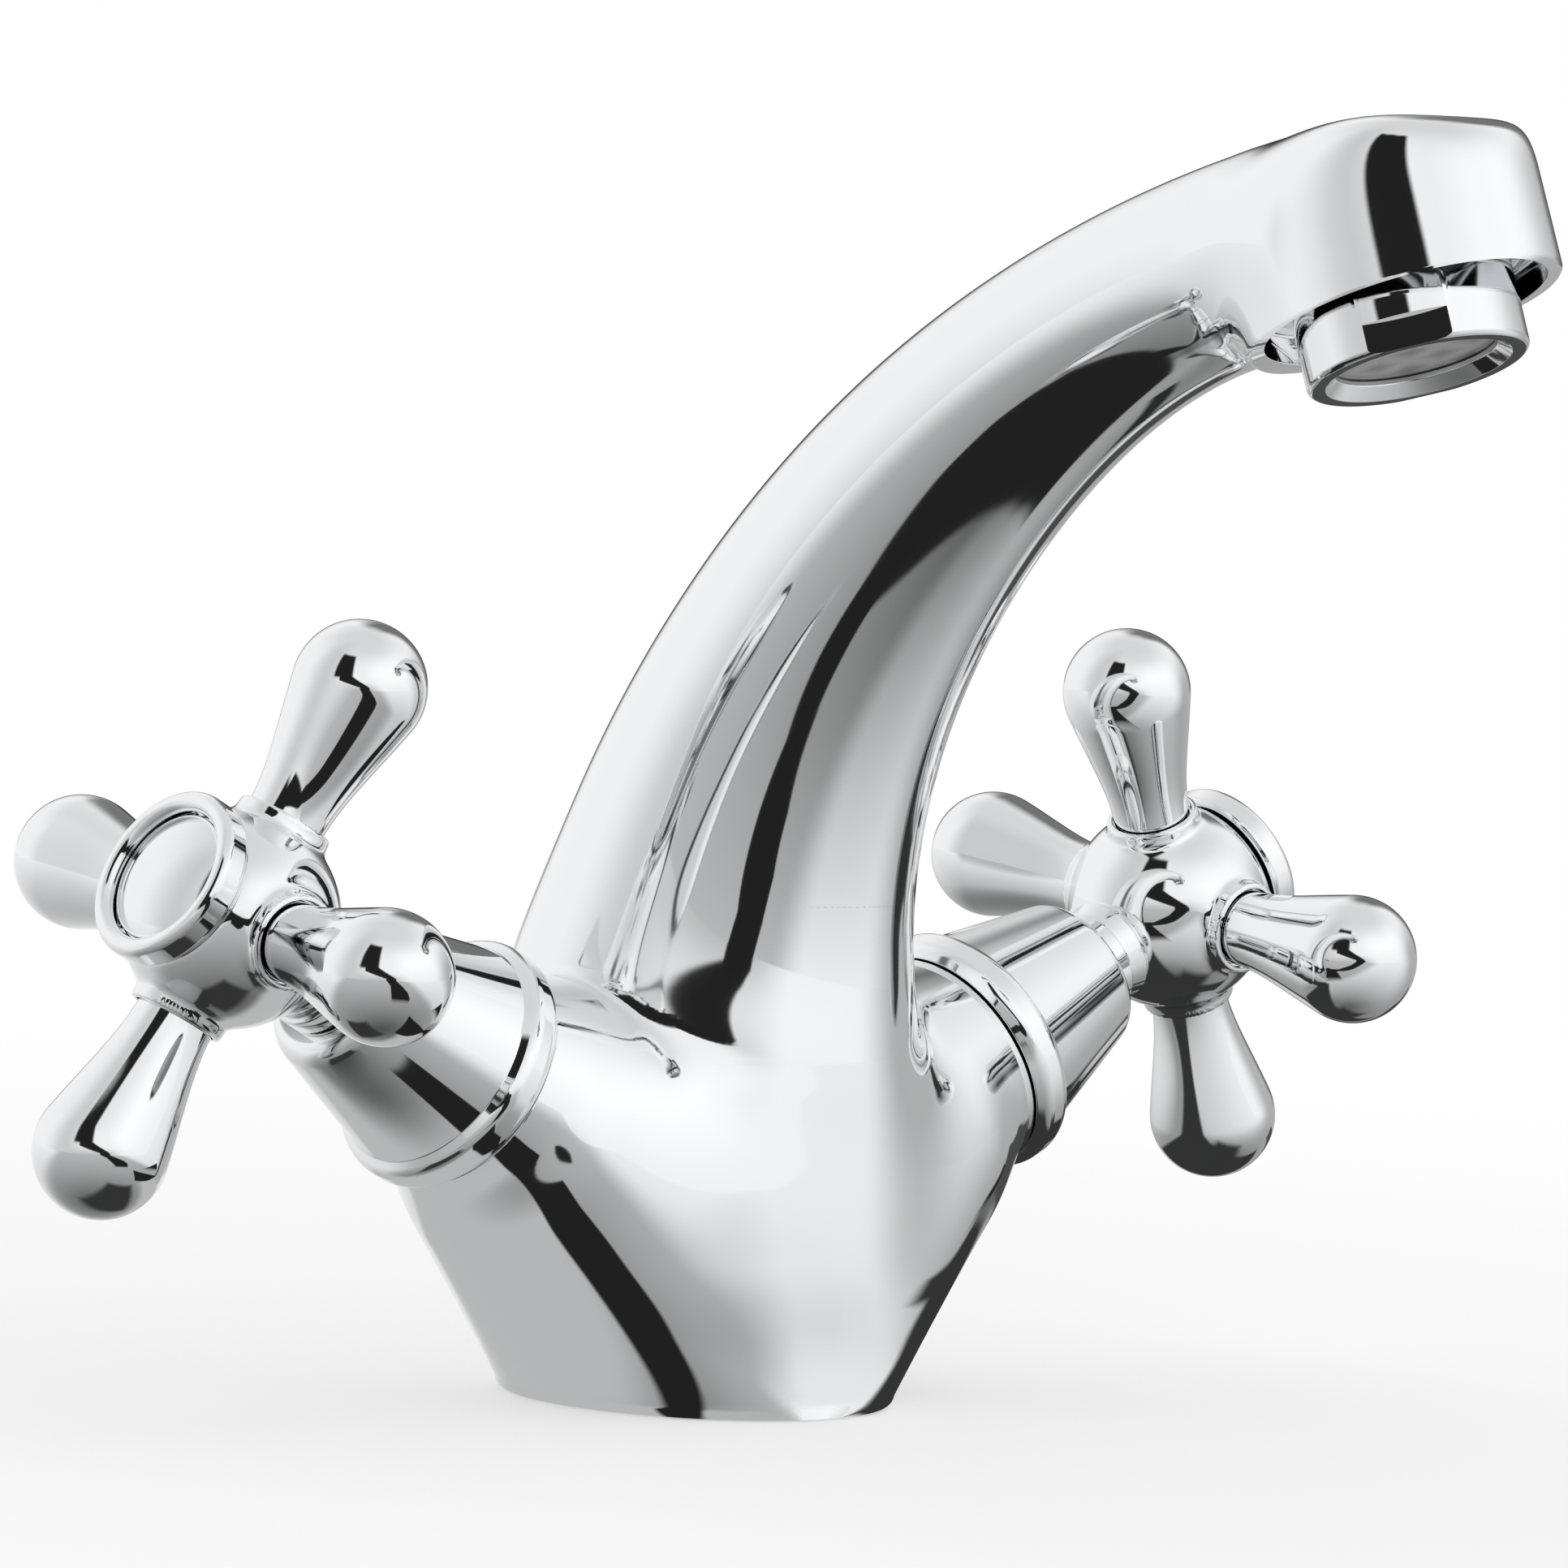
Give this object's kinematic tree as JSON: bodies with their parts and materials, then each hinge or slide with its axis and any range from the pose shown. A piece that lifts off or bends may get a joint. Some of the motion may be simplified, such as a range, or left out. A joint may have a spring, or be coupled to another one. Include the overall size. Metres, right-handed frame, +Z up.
{
  "type": "basin mixer faucet",
  "caption": "Chromed basin mixer faucet with a V-shaped body, curved fixed spout, angled cross handles and a screw-in aerator.",
  "frame": {"origin": "centre of the casting's foot, on the deck plane", "axes": "+Z up, spout towards -Y, cold valve on +X and hot valve on -X"},
  "size_m": [0.1966, 0.1663, 0.1592],
  "materials": {
    "chrome": "polished chrome plate",
    "brass": "machined, bare",
    "steel": "bright stainless",
    "rubber": "matt",
    "ceramic": "ground alumina",
    "grey_plastic": "moulded acetal"
  },
  "bodies": {
    "fixed_body": {"body_casting": "chrome", "base_seal": "rubber", "aerator_housing": "chrome", "aerator_screen": "grey_plastic", "aerator_insert": "grey_plastic", "aerator_washer": "rubber", "hot_valve_body": "brass", "hot_bonnet_seal": "rubber", "hot_seat_gasket": "rubber", "hot_fixed_disc": "ceramic", "hot_bell": "chrome", "cold_valve_body": "brass", "cold_bonnet_seal": "rubber", "cold_seat_gasket": "rubber", "cold_fixed_disc": "ceramic", "cold_bell": "chrome"},
    "hot_handle": {"hot_moving_disc": "ceramic", "hot_spindle": "brass", "hot_spindle_oring": "rubber", "hot_circlip": "steel", "hot_handle_hub": "chrome", "hot_handle_screw": "steel", "hot_index_ring": "chrome", "hot_index_button": "chrome", "hot_arm_up": "chrome", "hot_arm_front": "chrome", "hot_arm_down": "chrome", "hot_arm_back": "chrome"},
    "cold_handle": {"cold_moving_disc": "ceramic", "cold_spindle": "brass", "cold_spindle_oring": "rubber", "cold_circlip": "steel", "cold_handle_hub": "chrome", "cold_handle_screw": "steel", "cold_index_ring": "chrome", "cold_index_button": "chrome", "cold_arm_up": "chrome", "cold_arm_front": "chrome", "cold_arm_down": "chrome", "cold_arm_back": "chrome"}
  },
  "joints": [
    {"name": "hot_valve", "type": "hinge", "parent": "fixed_body", "child": "hot_handle", "pos_m": [-0.0765, 0, 0.059], "axis": [-0.8894, 0, 0.4571], "range_deg": [0, 180]},
    {"name": "cold_valve", "type": "hinge", "parent": "fixed_body", "child": "cold_handle", "pos_m": [0.0765, 0, 0.059], "axis": [0.8894, 0, 0.4571], "range_deg": [0, 180]}
  ]
}
